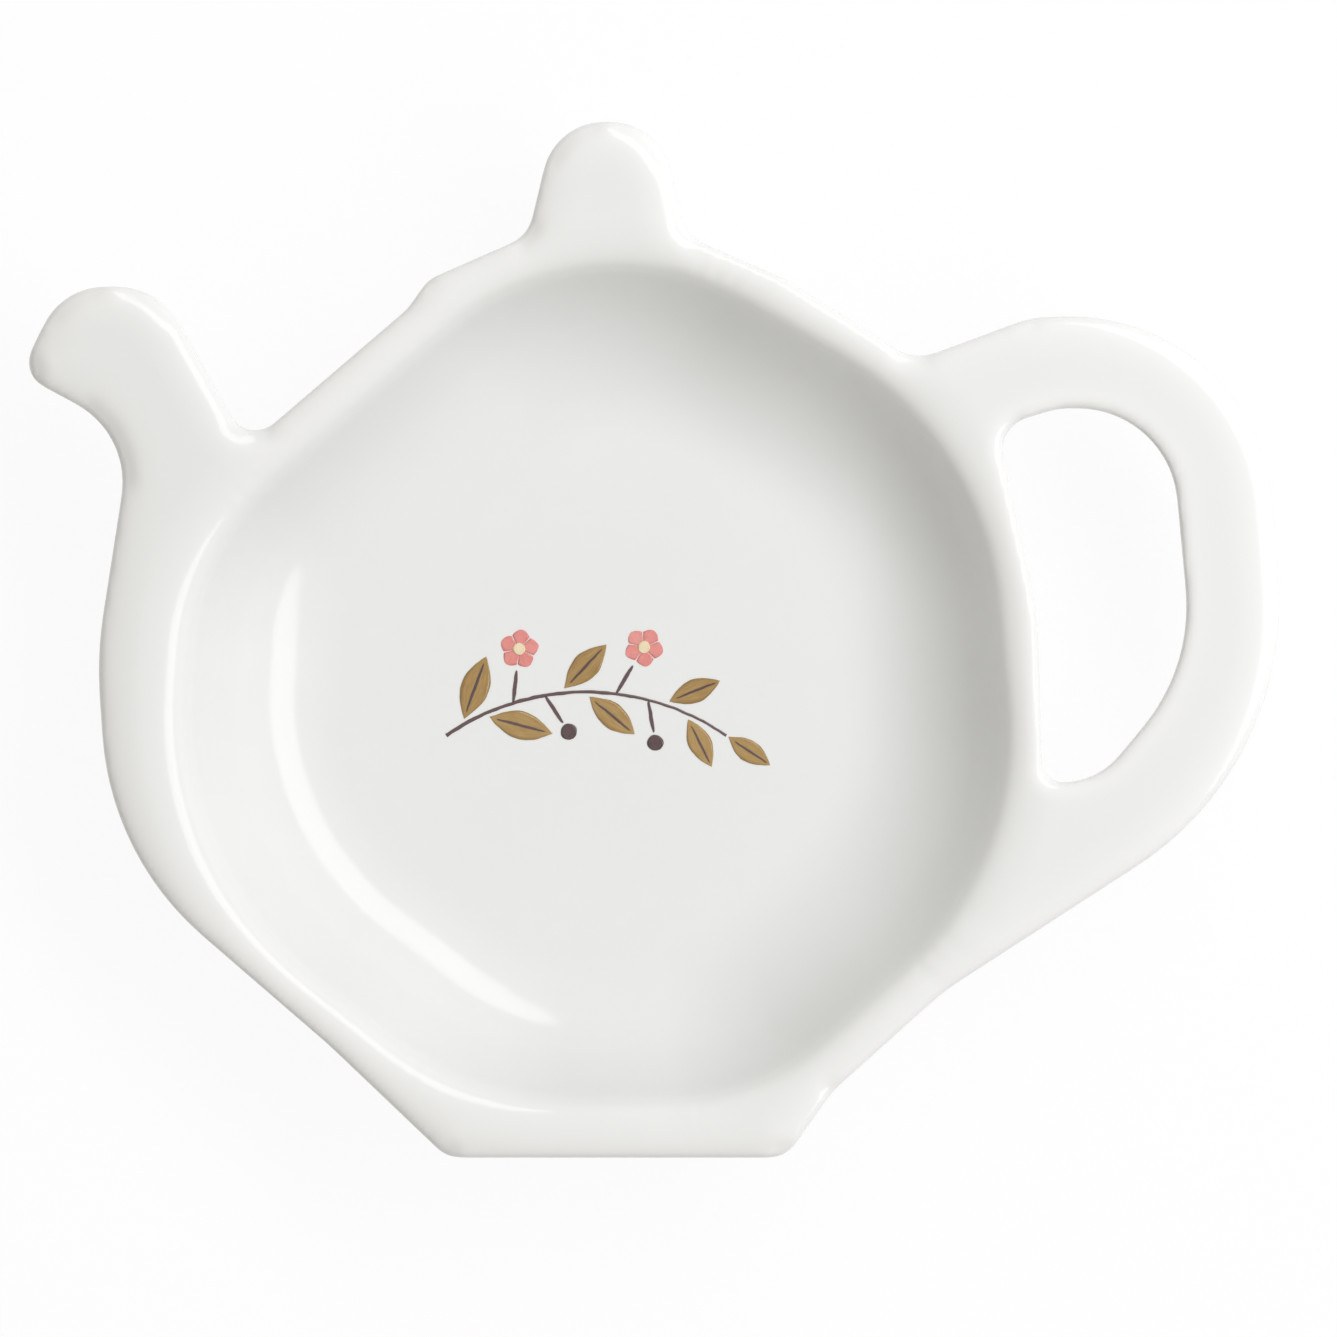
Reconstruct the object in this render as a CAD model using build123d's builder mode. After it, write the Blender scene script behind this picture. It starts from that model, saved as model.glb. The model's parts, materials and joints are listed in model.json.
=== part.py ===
from build123d import *
import os
from math import atan2, cos, degrees, pi, radians, sin, tan

# A tea bag rest in glazed china, shaped like a teapot seen from the side and lying on its back.
# One pressed piece of china carries a sprig that is printed on the floor of its well, one thin
# film of ink for each colour pass.
# Millimetres. The origin is the centre of the foot ring, on the table. +Z is up, the lid's knob
# points to +Y, the handle to +X and the spout to -X.

# Heights of the china
rim_thickness = 4.6      # the rim, spout, knob and handle are one level slab
well_depth = 12.5        # from the top of the rim to the floor of the well
base_thickness = 3.3     # below the floor of the well
foot_height = 1.2        # the foot ring below the base of the bowl

# The bowl, measured from its centre
well_radius = 39.7       # mean reach of the well's edge
wall_run = 6.2           # how far the well's wall leans outwards between its floor and the rim
wall = 2.3               # thickness of the bowl's wall
foot_inset = 14.7        # the foot ring's outside inside the well's edge
foot_width = 3.0

# The pot's body, lid, knob and front edge, as seen from above
body_margin = 1.7        # mean reach of the round body beyond the well's edge
lid_rise = 2.3           # the top of the lid beyond the round body
lid_width = 34.4
lid_drop = 4.2           # from the top of the lid down to its corners
knob_width = 10.0
knob_root_width = 15.2
knob_length = 11.0
knob_fullness = 0.95     # share of the knob's top that its two roundings take up
front_rise = 3.6         # the front edge beyond the round body
front_width = 32.6
front_shift = 0.9        # the front edge lies a little towards the handle

# Roundings and bevels
lip_round = 1.7          # the rim's top into the well
floor_round = 15.0       # the well's wall into its floor
rim_bevel = 1.3          # the outline's top edge
edge_bevel = 0.9         # the outline's edge below, and the finger hole's on both sides
junction_bevel = 0.6     # the slab's underside into the bowl
base_bevel = 6.8         # the bowl's wall into its base, along the rounding inside
foot_bevel = 0.5         # the foot ring's edges

# The printed sprig
ink = 0.05               # thickness of one film of ink
ink_gap = 0.15           # bare china left between two colours
sprig_length = 27.0      # between the ends of its arched stem
sprig_rise = 4.2         # how far the stem arches above its ends
sprig_shift = (-2.0, -4.4)   # from the middle of the floor to the middle between the stem's ends
stem_width = 0.5
leaf_length = 6.6
leaf_width = 2.8
leaf_slant = 40.0        # angle between a leaf and the stem, in degrees
leaf_taper = 0.25        # share by which leaves get smaller towards the tip of the stem
vein_width = 0.26
vein_inset = 0.7         # bare leaf beyond each end of its vein
twig_length = 3.2
twig_width = 0.36
twig_slant = 66.0
petal_count = 5
petal_radius = 1.0
petal_reach = 0.9        # from a blossom's centre to the centre of a petal
eye_radius = 0.6
berry_radius = 0.8

# Where leaves, blossoms and berries leave the stem, as shares of its length
upper_leaves = (0.06, 0.41, 0.76)
lower_leaves = (0.14, 0.49, 0.84)
blossom_twigs = (0.25, 0.60)
berry_twigs = (0.36, 0.71)

# Levels, reaches and the wall's lean, which follow from these
base_level = foot_height
floor_level = base_level + base_thickness
top_level = floor_level + well_depth
slab_under = top_level - rim_thickness
slab_middle = top_level - rim_thickness / 2
body_radius = well_radius + body_margin
foot_radius = well_radius - foot_inset
wall_lean = degrees(atan2(wall_run, well_depth))
level_wall = wall / cos(radians(wall_lean))
cut_past = 1.0           # how far a cut runs past the face that it opens
hair = 0.01              # half the height of the slice in which a level's edges are looked for


def around(direction, reach):
    """The point at a reach from the centre, in a direction in degrees."""
    return (reach * cos(radians(direction)), reach * sin(radians(direction)))


def beyond(direction, distance):
    """The point that lies a distance beyond the round body of the pot."""
    return around(direction, body_radius + distance)


# The edge of the well at the rim: corner points, each with the radius that rounds it
well_edge = [
    (around(34, well_radius + 4.7), 32.0),
    (around(93, well_radius + 7.5), 26.0),
    (around(160.6, well_radius + 3.1), 24.5),
    (around(203, well_radius + 6.5), 34.0),
    (around(252, well_radius + 2.8), 29.0),
    (around(290, well_radius + 3.2), 23.0),
    (around(337, well_radius + 4.4), 31.5),
]

# The pot's outline, in the same way
lid_top = body_radius + lid_rise
lid_side = lid_top - lid_drop
knob_top = lid_top + knob_length
knob_taper = atan2(knob_root_width - knob_width, 2 * knob_length)
knob_round = knob_fullness * knob_width / 2 / tan(pi / 4 - knob_taper / 2)
front = -body_radius - front_rise
pot_outline = [
    ((front_shift - front_width / 2, front), 3.0),
    (beyond(232, 2.0), 28.0),
    (beyond(198.5, 9.0), 28.0),
    (beyond(176, 7.8), 35.0),
    (beyond(151.7, 10.6), 8.5),
    (beyond(151.7, 22.8), 2.6),
    (beyond(143.4, 23.8), 6.6),
    (beyond(138, 16.6), 7.0),
    (beyond(145.8, 0.4), 2.6),
    (beyond(117.6, 0.0), 1.8),
    ((-lid_width / 2, lid_side), 2.4),
    ((-knob_root_width / 2, lid_top), 3.5),
    ((-knob_width / 2, knob_top), knob_round),
    ((knob_width / 2, knob_top), knob_round),
    ((knob_root_width / 2, lid_top), 3.5),
    ((lid_width / 2, lid_side), 3.5),
    (beyond(58, 1.2), 4.5),
    (beyond(47, 1.9), 4.4),
    (beyond(41.3, 12.9), 6.5),
    (beyond(30.3, 31.2), 19.5),
    (beyond(-6.3, 24.9), 30.0),
    (beyond(-41.8, 2.1), 20.0),
    (beyond(-60.7, 2.9), 9.0),
    ((front_shift + front_width / 2, front), 3.0),
]

# The finger hole inside the handle, in the same way
finger_hole = [
    (beyond(34, 3.8), 3.2),
    (beyond(32, 9.7), 6.2),
    (beyond(26.7, 19.1), 9.6),
    (beyond(2.3, 15.0), 18.0),
    (beyond(-10.4, 6.7), 7.0),
    (beyond(-12.1, 1.5), 1.8),
    (beyond(10.5, 0.7), 33.0),
]


def draw_rounded(corners):
    """A closed outline of straight runs joined by the corners' arcs."""
    points = [point for point, _ in corners]
    radii = [radius for _, radius in corners]
    FilletPolyline(*points, radius=radii, close=True)


with BuildLine() as pot_line:
    draw_rounded(pot_outline)
with BuildLine() as hole_line:
    draw_rounded(finger_hole)
with BuildLine() as well_line:
    draw_rounded(well_edge)


def draw_bowl(level, thickness):
    """The bowl's section at a level, along the well's wall or a level thickness outside it."""
    make_face(well_line.edges())
    narrowing = wall_run * (top_level - level) / well_depth
    offset(amount=thickness - narrowing, mode=Mode.REPLACE)


def edges_at(level):
    """The edges of the china that lie in one level."""
    return china_body.edges().filter_by_position(Axis.Z, level - hair, level + hair)


def slab_faces():
    """The level faces of the slab, from its underside to its top."""
    level_faces = china_body.faces().filter_by(Plane.XY)
    return level_faces.filter_by_position(Axis.Z, slab_under - hair, top_level + hair).sort_by(Axis.Z)


def hole_edges(face):
    """The finger hole's edges on a face of the slab: the opening furthest towards the handle."""
    return face.inner_wires().sort_by(Axis.X)[-1].edges()


# China: slab, bowl, well and foot ring, pressed as one piece
with BuildPart() as china_body:
    with BuildSketch(Plane.XY.offset(slab_under)):
        make_face(pot_line.edges())
        make_face(hole_line.edges(), mode=Mode.SUBTRACT)
    extrude(amount=rim_thickness)

    # The bowl below the slab, and the well in it, both widening upwards
    with BuildSketch(Plane.XY.offset(base_level)):
        draw_bowl(base_level, level_wall)
    extrude(amount=slab_middle - base_level, taper=-wall_lean)
    with BuildSketch(Plane.XY.offset(floor_level)):
        draw_bowl(floor_level, 0)
    extrude(amount=well_depth + cut_past, taper=-wall_lean, mode=Mode.SUBTRACT)

    # The well's edges
    fillet(china_body.edges(Select.LAST).group_by(Axis.Z)[-1], lip_round)
    fillet(edges_at(floor_level), floor_round)

    # The slab's edges
    chamfer(slab_faces()[-1].outer_wire().edges(), rim_bevel)
    chamfer(hole_edges(slab_faces()[-1]), edge_bevel)
    chamfer(slab_faces()[0].outer_wire().edges() + hole_edges(slab_faces()[0]), edge_bevel)
    chamfer(slab_faces()[0].inner_wires().sort_by(Axis.X)[0].edges(), junction_bevel)

    # The base of the bowl and its foot ring
    chamfer(edges_at(base_level), base_bevel)
    with BuildSketch():
        Circle(foot_radius)
        Circle(foot_radius - foot_width, mode=Mode.SUBTRACT)
    extrude(amount=foot_height)
    chamfer(edges_at(0), foot_bevel)

china_body.part.label = "china_body"


# The sprig's stem, and the levels of its films of ink on the floor of the well
stem_arch = ThreePointArc((-sprig_length / 2, 0), (0, sprig_rise), (sprig_length / 2, 0))
stem_line = stem_arch.moved(Pos(*sprig_shift))
first_film = Plane.XY.offset(floor_level)
second_film = Plane.XY.offset(floor_level + ink)
blossom_radius = petal_reach + petal_radius
leaf_start = (stem_width / 2 + ink_gap) / sin(radians(leaf_slant))


def off_stem(share, slant, distance):
    """The point at a distance from the stem, on a line that leaves it at a slant."""
    return stem_line @ share + (stem_line % share).rotate(Axis.Z, slant) * distance


def leaf_run(share, slant, start):
    """The root and the tip of a leaf that starts at a distance from the stem."""
    length = leaf_length * (1 - leaf_taper * share)
    return off_stem(share, slant, start), off_stem(share, slant, start + length)


leaf_runs = [leaf_run(share, leaf_slant, leaf_start) for share in upper_leaves]
leaf_runs += [leaf_run(share, -leaf_slant, leaf_start) for share in lower_leaves]
leaf_runs.append(leaf_run(1, 0, ink_gap))
twig_runs = [(stem_line @ share, off_stem(share, twig_slant, twig_length)) for share in blossom_twigs]
twig_runs += [(stem_line @ share, off_stem(share, -twig_slant, twig_length)) for share in berry_twigs]
blossom_start = twig_length + ink_gap + blossom_radius
blossom_centres = [off_stem(share, twig_slant, blossom_start) for share in blossom_twigs]
berry_start = twig_length + ink_gap + berry_radius
berry_centres = [off_stem(share, -twig_slant, berry_start) for share in berry_twigs]


def draw_stroke(start, end, width):
    """A straight stroke of ink."""
    trace(Line(start, end, mode=Mode.PRIVATE), width)


# Ink pass: the stem and its twigs
with BuildPart() as print_stems:
    with BuildSketch(first_film):
        trace(stem_line, stem_width)
        for start, end in twig_runs:
            draw_stroke(start, end, twig_width)
    extrude(amount=ink)
print_stems.part.label = "print_stems"

# Ink pass: leaves, pointed at both ends
with BuildPart() as print_leaves:
    with BuildSketch(first_film):
        for root, tip in leaf_runs:
            bulge = leaf_width / 2 * (tip - root).length / leaf_length
            with BuildLine():
                SagittaArc(root, tip, bulge)
                SagittaArc(tip, root, bulge)
            make_face()
    extrude(amount=ink)
print_leaves.part.label = "print_leaves"

# Ink pass: the leaves' middle veins, over the leaves
with BuildPart() as print_leaf_veins:
    with BuildSketch(second_film):
        for root, tip in leaf_runs:
            inset = (tip - root).normalized() * vein_inset
            draw_stroke(root + inset, tip - inset, vein_width)
    extrude(amount=ink)
print_leaf_veins.part.label = "print_leaf_veins"

# Ink pass: blossoms of round petals
with BuildPart() as print_blossoms:
    with BuildSketch(first_film):
        with Locations(*blossom_centres):
            with PolarLocations(petal_reach, petal_count):
                Circle(petal_radius)
            Circle(petal_reach)
    extrude(amount=ink)
print_blossoms.part.label = "print_blossoms"

# Ink pass: the blossoms' eyes, over the petals
with BuildPart() as print_blossom_eyes:
    with BuildSketch(second_film):
        with Locations(*blossom_centres):
            Circle(eye_radius)
    extrude(amount=ink)
print_blossom_eyes.part.label = "print_blossom_eyes"

# Ink pass: berries
with BuildPart() as print_berries:
    with BuildSketch(first_film):
        with Locations(*berry_centres):
            Circle(berry_radius)
    extrude(amount=ink)
print_berries.part.label = "print_berries"

# One file for each piece
inks = [print_stems, print_leaves, print_leaf_veins, print_blossoms, print_blossom_eyes, print_berries]
os.makedirs("parts", exist_ok=True)
for piece in [china_body] + inks:
    export_step(piece.part, f"parts/{piece.part.label}.step")
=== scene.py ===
"""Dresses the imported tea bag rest: glazed china, a printed sprig, soft light and an overhead camera."""
import json
from math import cos, pi, radians, sin, tan

import bmesh
import bpy
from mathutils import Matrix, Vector


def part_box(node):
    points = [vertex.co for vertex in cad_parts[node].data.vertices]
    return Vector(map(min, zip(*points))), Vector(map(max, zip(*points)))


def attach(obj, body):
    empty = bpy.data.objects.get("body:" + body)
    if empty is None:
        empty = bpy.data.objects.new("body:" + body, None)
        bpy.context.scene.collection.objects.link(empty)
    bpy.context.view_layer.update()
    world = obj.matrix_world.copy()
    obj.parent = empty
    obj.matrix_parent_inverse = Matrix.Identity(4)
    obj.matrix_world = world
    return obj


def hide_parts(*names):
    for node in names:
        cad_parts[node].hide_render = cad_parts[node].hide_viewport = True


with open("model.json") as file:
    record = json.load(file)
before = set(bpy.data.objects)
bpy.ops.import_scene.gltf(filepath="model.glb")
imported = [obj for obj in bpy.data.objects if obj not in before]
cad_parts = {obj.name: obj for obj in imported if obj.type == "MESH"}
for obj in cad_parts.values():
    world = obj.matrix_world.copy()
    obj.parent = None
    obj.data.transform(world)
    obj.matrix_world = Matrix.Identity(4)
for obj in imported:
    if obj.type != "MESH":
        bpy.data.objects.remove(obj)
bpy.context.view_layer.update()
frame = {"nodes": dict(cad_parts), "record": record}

bl_info = {
    "name": "Tea Bag Rest",
    "version": (1, 0, 0),
    "blender": (4, 5, 0),
    "location": "3D View > Sidebar > Tea Rest",
    "description": "Glazes, prints and lights a teapot-shaped tea bag rest",
    "category": "Object",
}

MM = 0.001
WELD = 0.002 * MM        # points closer than this are one point
WHITE = (1.0, 1.0, 1.0)

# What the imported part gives
CHINA_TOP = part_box("china_body")[1].z
FLOOR_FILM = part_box("print_leaves")
OVER_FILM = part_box("print_leaf_veins")
OPENINGS = {opening["name"]: opening["box_m"] for opening in frame["record"]["physics"]["openings"]}
HOLE_LOW, HOLE_HIGH = [Vector(corner) for corner in OPENINGS["finger_hole"]]

# How far the normals of upright faces and of the well's leaning wall rise, and how far they may differ
UPRIGHT_RISE = (0.0, 0.1)
WALL_RISE = (0.45, 0.15)

# How fine each unevenness is, in waves to the metre
RIPPLES = 90.0
ORANGE_PEEL = 700.0
GLOSS_PATCHES = 45.0
GLAZE_CLOUDS = 60.0
GLAZE_EDGE = 260.0
CLAY_SAND = 2500.0
FLECK_CELLS = 75.0
INK_BLOOM = 900.0
PAINTED_EDGE = 900.0
BRUSH_PRESSURE = 260.0
FLOOR_GRAIN = 40.0

# Roughness of the glaze over bare china and over ink: its least, and what dull patches add
CHINA_GLOSS = (0.08, 0.10)
INK_GLOSS = (0.10, 0.12)

# How strongly each ink shows its streaks and its thick rim
INKS = {"mustard": (1.5, 0.55), "plum": (1.6, 0.3), "coral": (1.2, 0.5), "cream": (1.0, 0.6)}

# How full a dab of the brush is: at 1 its ends are pointed, and near 0 it is a bar
FULLNESS = {"leaf": 0.95, "vein": 0.4, "twig": 0.3, "petal": 0.62, "disc": 0.5}

# Points along and across a stroke
STEM_POINTS = (121, 3)
DAB_POINTS = (29, 9)

# Kinds of sockets
NUMBER = "NodeSocketFloat"
COUNT = "NodeSocketInt"
PLACE = "NodeSocketVector"
COLOUR = "NodeSocketColor"
SHAPE = "NodeSocketGeometry"
OBJECT = "NodeSocketObject"
MATERIAL = "NodeSocketMaterial"


def screen(red, green, blue):
    """A colour written as a screen shows it, 0 to 255, turned into light."""
    shares = [value / 255 for value in (red, green, blue)]
    return [s / 12.92 if s <= 0.04045 else ((s + 0.055) / 1.055) ** 2.4 for s in shares]


def length(name, description, millimetres):
    """A size that a user can change, given in millimetres."""
    return bpy.props.FloatProperty(
        name=name, description=description, default=millimetres * MM,
        subtype="DISTANCE", unit="LENGTH", precision=5)


def share(name, description, default):
    """A plain number that a user can change."""
    return bpy.props.FloatProperty(name=name, description=description, default=default, precision=3)


def angle(name, description, degrees):
    """An angle that a user can change, given in degrees."""
    return bpy.props.FloatProperty(
        name=name, description=description, default=radians(degrees), subtype="ANGLE", unit="ROTATION")


def whole(name, description, default):
    """A count that a user can change."""
    return bpy.props.IntProperty(name=name, description=description, default=default, min=1)


def colour(name, description, red, green, blue):
    """A colour that a user can change, given as a screen shows it."""
    return bpy.props.FloatVectorProperty(
        name=name, description=description, default=screen(red, green, blue), subtype="COLOR", min=0, max=1)


class ChinaSettings(bpy.types.PropertyGroup):
    """Shape and glaze of the china."""

    grain: length("Grain", "Size of the squares that the china's surface is made of", 0.52)
    fine_grain: length("Fine Grain", "Size of the finer squares on which edges are rounded first", 0.25)
    melting: whole("Melting", "Passes that round the edges as melting glaze does", 22)
    softening: whole("Softening", "Passes that even out the finished surface", 3)
    edge_height: length("Edge Height", "Height of the bevel along the slab's top edges", 0.2)
    edge_drop: length("Edge Drop", "How far the slab's top falls towards its outline", 0.5)
    edge_width: length("Edge Width", "How far from its outline the slab's top starts to fall", 4.0)
    lip_drop: length("Lip Drop", "How far the slab's top falls at the lip of the well", 1.0)
    lip_width: length("Lip Width", "How far from the well the slab's top starts to fall", 5.0)
    slab_thickness: length("Slab Thickness", "Thickness of the rim, spout, knob and handle", 4.6)
    glaze: colour("Glaze", "Colour of the glaze over the clay", 236, 237, 236)
    pooled: colour("Pooled Glaze", "Colour where the glaze runs together", 231, 232, 231)
    # Thin glaze: lighter than the glaze, painted light that lifts the shade of rounded edges
    pale_edge_light: colour("Thin Glaze and Edge Light", "Colour where the glaze draws away from an edge", 240, 240, 239)
    fleck: colour("Fleck", "Colour of the few flecks in the clay", 190, 186, 180)
    bisque: colour("Bare Clay", "Colour of the foot ring, wiped clean of glaze", 205, 196, 181)
    bare_height: length("Bare Height", "Height up to which the foot ring has no glaze", 0.45)


class SprigSettings(bpy.types.PropertyGroup):
    """Sizes and inks of the printed sprig."""

    span: length("Span", "Between the ends of the arched stem", 27.0)
    rise: length("Rise", "How far the stem arches above its ends", 4.2)
    shift_x: length("Shift X", "From the middle of the floor to the middle of the stem's ends", -2.0)
    shift_y: length("Shift Y", "From the middle of the floor to the line between the stem's ends", -4.4)
    stem_width: length("Stem Width", "Width of the stem's stroke", 0.5)
    ink_gap: length("Ink Gap", "Bare china left between two inks", 0.15)
    step: share("Step", "Share of the stem from one leaf, blossom or berry to the next", 0.35)
    side_leaves: whole("Side Leaves", "Leaves on each side of the stem", 3)
    upper_leaf: share("Upper Leaf", "Where the first leaf above the stem leaves it", 0.06)
    lower_leaf: share("Lower Leaf", "Where the first leaf below the stem leaves it", 0.14)
    leaf_length: length("Leaf Length", "Length of a leaf at the root of the stem", 6.6)
    leaf_width: length("Leaf Width", "Width of a leaf at the root of the stem", 2.8)
    leaf_slant: angle("Leaf Slant", "Angle between a leaf and the stem", 40)
    leaf_taper: share("Leaf Taper", "Share by which leaves get smaller towards the tip", 0.25)
    vein_width: length("Vein Width", "Width of a leaf's middle vein", 0.26)
    vein_inset: length("Vein Inset", "Bare leaf beyond each end of its vein", 0.7)
    twigs: whole("Twigs", "Twigs on each side, blossoms above and berries below", 2)
    blossom_twig: share("Blossom Twig", "Where the first blossom's twig leaves the stem", 0.25)
    berry_twig: share("Berry Twig", "Where the first berry's twig leaves the stem", 0.36)
    twig_length: length("Twig Length", "Length of the twigs of blossoms and berries", 3.2)
    twig_width: length("Twig Width", "Width of a twig's stroke", 0.36)
    twig_slant: angle("Twig Slant", "Angle between a twig and the stem", 66)
    petals: whole("Petals", "Petals of a blossom", 5)
    petal_length: length("Petal Length", "From the middle of a blossom to the end of a petal", 1.9)
    petal_width: length("Petal Width", "Width of a petal", 1.75)
    eye_width: length("Eye Width", "Width of a blossom's eye", 1.2)
    berry_width: length("Berry Width", "Width of a berry", 1.6)
    wobble: length("Wobble", "How far a hand-painted edge strays", 0.09)
    mustard: colour("Mustard", "Ink of the leaves", 179, 147, 92)
    mustard_deep: colour("Deep Mustard", "Ink of the leaves where it lies thick", 148, 114, 58)
    plum: colour("Plum", "Ink of stems, veins and berries", 104, 80, 80)
    plum_deep: colour("Deep Plum", "Ink of stems, veins and berries where it lies thick", 62, 42, 46)
    coral: colour("Coral", "Ink of the blossoms", 232, 158, 150)
    coral_deep: colour("Deep Coral", "Ink of the blossoms where it lies thick", 214, 112, 108)
    cream: colour("Cream", "Ink of the blossoms' eyes", 243, 232, 206)
    cream_deep: colour("Deep Cream", "Ink of the blossoms' eyes where it lies thick", 224, 200, 150)


class StageSettings(bpy.types.PropertyGroup):
    """Floor, light and camera."""

    view_width: length("View Width", "Width of the picture at the rim", 128.6)
    view_x: length("View X", "Middle of the picture, towards the handle", 5.92)
    view_y: length("View Y", "Middle of the picture, towards the knob", 2.07)
    lens: share("Lens", "Focal length in millimetres", 1500)
    floor_width: length("Floor Width", "Width of the floor", 6000)
    floor: colour("Floor", "Colour of the floor", 250, 250, 250)
    floor_white: share("Floor White", "Share of plain white in the floor as the camera sees it", 0.92)
    ambient: share("Ambient", "Strength of the light from all round", 0.465)
    ambient_tone: colour("Ambient Tone", "Colour of the light from all round", 255, 251, 244)
    key_strength: share("Key", "Brightness of the soft box, where 1 is white", 5.03)
    key_tone: colour("Key Tone", "Colour of the soft box", 250, 252, 255)
    key_turn: angle("Key Turn", "Direction of the soft box, from the handle towards the knob", 25)
    key_lift: angle("Key Lift", "Height of the soft box above the table", 53)
    key_distance: length("Key Distance", "Distance of the soft box", 600)
    key_spread: angle("Key Spread", "Angle that the soft box takes up from side to side", 95)
    key_height: angle("Key Height", "Angle that the soft box takes up from top to bottom", 20)


# Building nodes

def add_node(tree, kind, inputs=None, **settings):
    """A node with its settings, and its inputs by name or number: plain values, or sockets to link."""
    node = tree.nodes.new(kind)
    for name, value in settings.items():
        setattr(node, name, value)
    for key, value in (inputs or {}).items():
        if isinstance(value, bpy.types.NodeSocket):
            tree.links.new(value, node.inputs[key])
        else:
            node.inputs[key].default_value = value
    return node


def calc(tree, operation, *values, clamp=False):
    """The result of a sum on numbers, in a shader or a geometry tree."""
    inputs = dict(enumerate(values))
    return add_node(tree, "ShaderNodeMath", inputs, operation=operation, use_clamp=clamp).outputs[0]


def calc_vector(tree, operation, *values):
    """The result of a sum on vectors. A scale is the fourth input, and a plain number the second output."""
    slots = (0, 3) if operation == "SCALE" else range(len(values))
    node = add_node(tree, "ShaderNodeVectorMath", dict(zip(slots, values)), operation=operation)
    return node.outputs[1 if operation in ("DOT_PRODUCT", "LENGTH") else 0]


def combine(tree, x=0.0, y=0.0, z=0.0):
    """A vector from its three numbers."""
    return add_node(tree, "ShaderNodeCombineXYZ", {0: x, 1: y, 2: z}).outputs[0]


def separate(tree, vector):
    """The three numbers of a vector."""
    return add_node(tree, "ShaderNodeSeparateXYZ", {0: vector}).outputs


def turn_level(tree, vector, turn):
    """A vector turned about the upright axis."""
    inputs = {"Vector": vector, "Angle": turn}
    return add_node(tree, "ShaderNodeVectorRotate", inputs, rotation_type="Z_AXIS").outputs[0]


def noise(tree, place, waves, detail, output="Fac"):
    """Soft unevenness around a half."""
    inputs = {"Vector": place, "Scale": waves, "Detail": detail}
    return add_node(tree, "ShaderNodeTexNoise", inputs).outputs[output]


def mix_colour(tree, factor, first, second):
    """A mix of two colours, each a socket or a plain colour."""
    inputs = {0: factor}
    for slot, value in ((6, first), (7, second)):
        inputs[slot] = value if isinstance(value, bpy.types.NodeSocket) else (*value, 1.0)
    return add_node(tree, "ShaderNodeMix", inputs, data_type="RGBA").outputs[2]


def new_group(kind, name, inputs, outputs):
    """A node group with named sockets; gives the tree, its inputs by name and its output node."""
    tree = bpy.data.node_groups.new(name, kind)
    for socket_name, socket_kind in inputs.items():
        tree.interface.new_socket(socket_name, in_out="INPUT", socket_type=socket_kind)
    for socket_name, socket_kind in outputs.items():
        tree.interface.new_socket(socket_name, in_out="OUTPUT", socket_type=socket_kind)
    given = tree.nodes.new("NodeGroupInput").outputs
    return tree, given, tree.nodes.new("NodeGroupOutput")


def shared(name, build):
    """A node group that is built once and used again."""
    return bpy.data.node_groups.get(name) or build()


# Making pieces

def new_piece(name, mesh):
    """An object at the origin."""
    piece = bpy.data.objects.new(name, mesh)
    bpy.context.scene.collection.objects.link(piece)
    return piece


def add_modifier(piece, tree, values):
    """A geometry tree on a piece, with its inputs set by their sockets' identifiers."""
    modifier = piece.modifiers.new(tree.name, "NODES")
    modifier.node_group = tree
    for item in tree.interface.items_tree:
        if item.item_type == "SOCKET" and item.in_out == "INPUT" and item.name in values:
            modifier[item.identifier] = values[item.name]


def settle(piece):
    """Turns a piece's modifiers into its plain mesh."""
    bpy.context.view_layer.update()
    depsgraph = bpy.context.evaluated_depsgraph_get()
    mesh = bpy.data.meshes.new_from_object(piece.evaluated_get(depsgraph), depsgraph=depsgraph)
    piece.modifiers.clear()
    piece.data = mesh
    if not mesh.polygons:
        raise RuntimeError(f"{piece.name} came out without faces")


def hand_over(piece, node):
    """A finished piece rides with the part, in the place of its CAD node."""
    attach(piece, "root")
    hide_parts(node)


# Finishes

def object_place(tree):
    """Where a point of the surface lies on its piece."""
    return add_node(tree, "ShaderNodeTexCoord").outputs["Object"]


def attribute(tree, name):
    """A number that the geometry trees have stored on the surface."""
    return add_node(tree, "ShaderNodeAttribute", attribute_name=name).outputs["Fac"]


def glaze_skin_group():
    """The skin of fired glaze: slow ripples, orange peel and patches of softer gloss."""
    peel_share = 0.12        # height of the orange peel as a share of the ripples'
    tree, given, result = new_group(
        "ShaderNodeTree", "Glaze Skin",
        {"Gloss": NUMBER, "Dullness": NUMBER}, {"Roughness": NUMBER, "Height": NUMBER})
    place = object_place(tree)
    ripple = noise(tree, place, RIPPLES, detail=1.0)
    peel = noise(tree, place, ORANGE_PEEL, detail=2.0)
    patch = noise(tree, place, GLOSS_PATCHES, detail=3.0)
    height = calc(tree, "MULTIPLY_ADD", peel, peel_share, ripple)
    roughness = calc(tree, "MULTIPLY_ADD", patch, given["Dullness"], given["Gloss"])
    tree.links.new(roughness, result.inputs["Roughness"])
    tree.links.new(height, result.inputs["Height"])
    return tree


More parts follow.
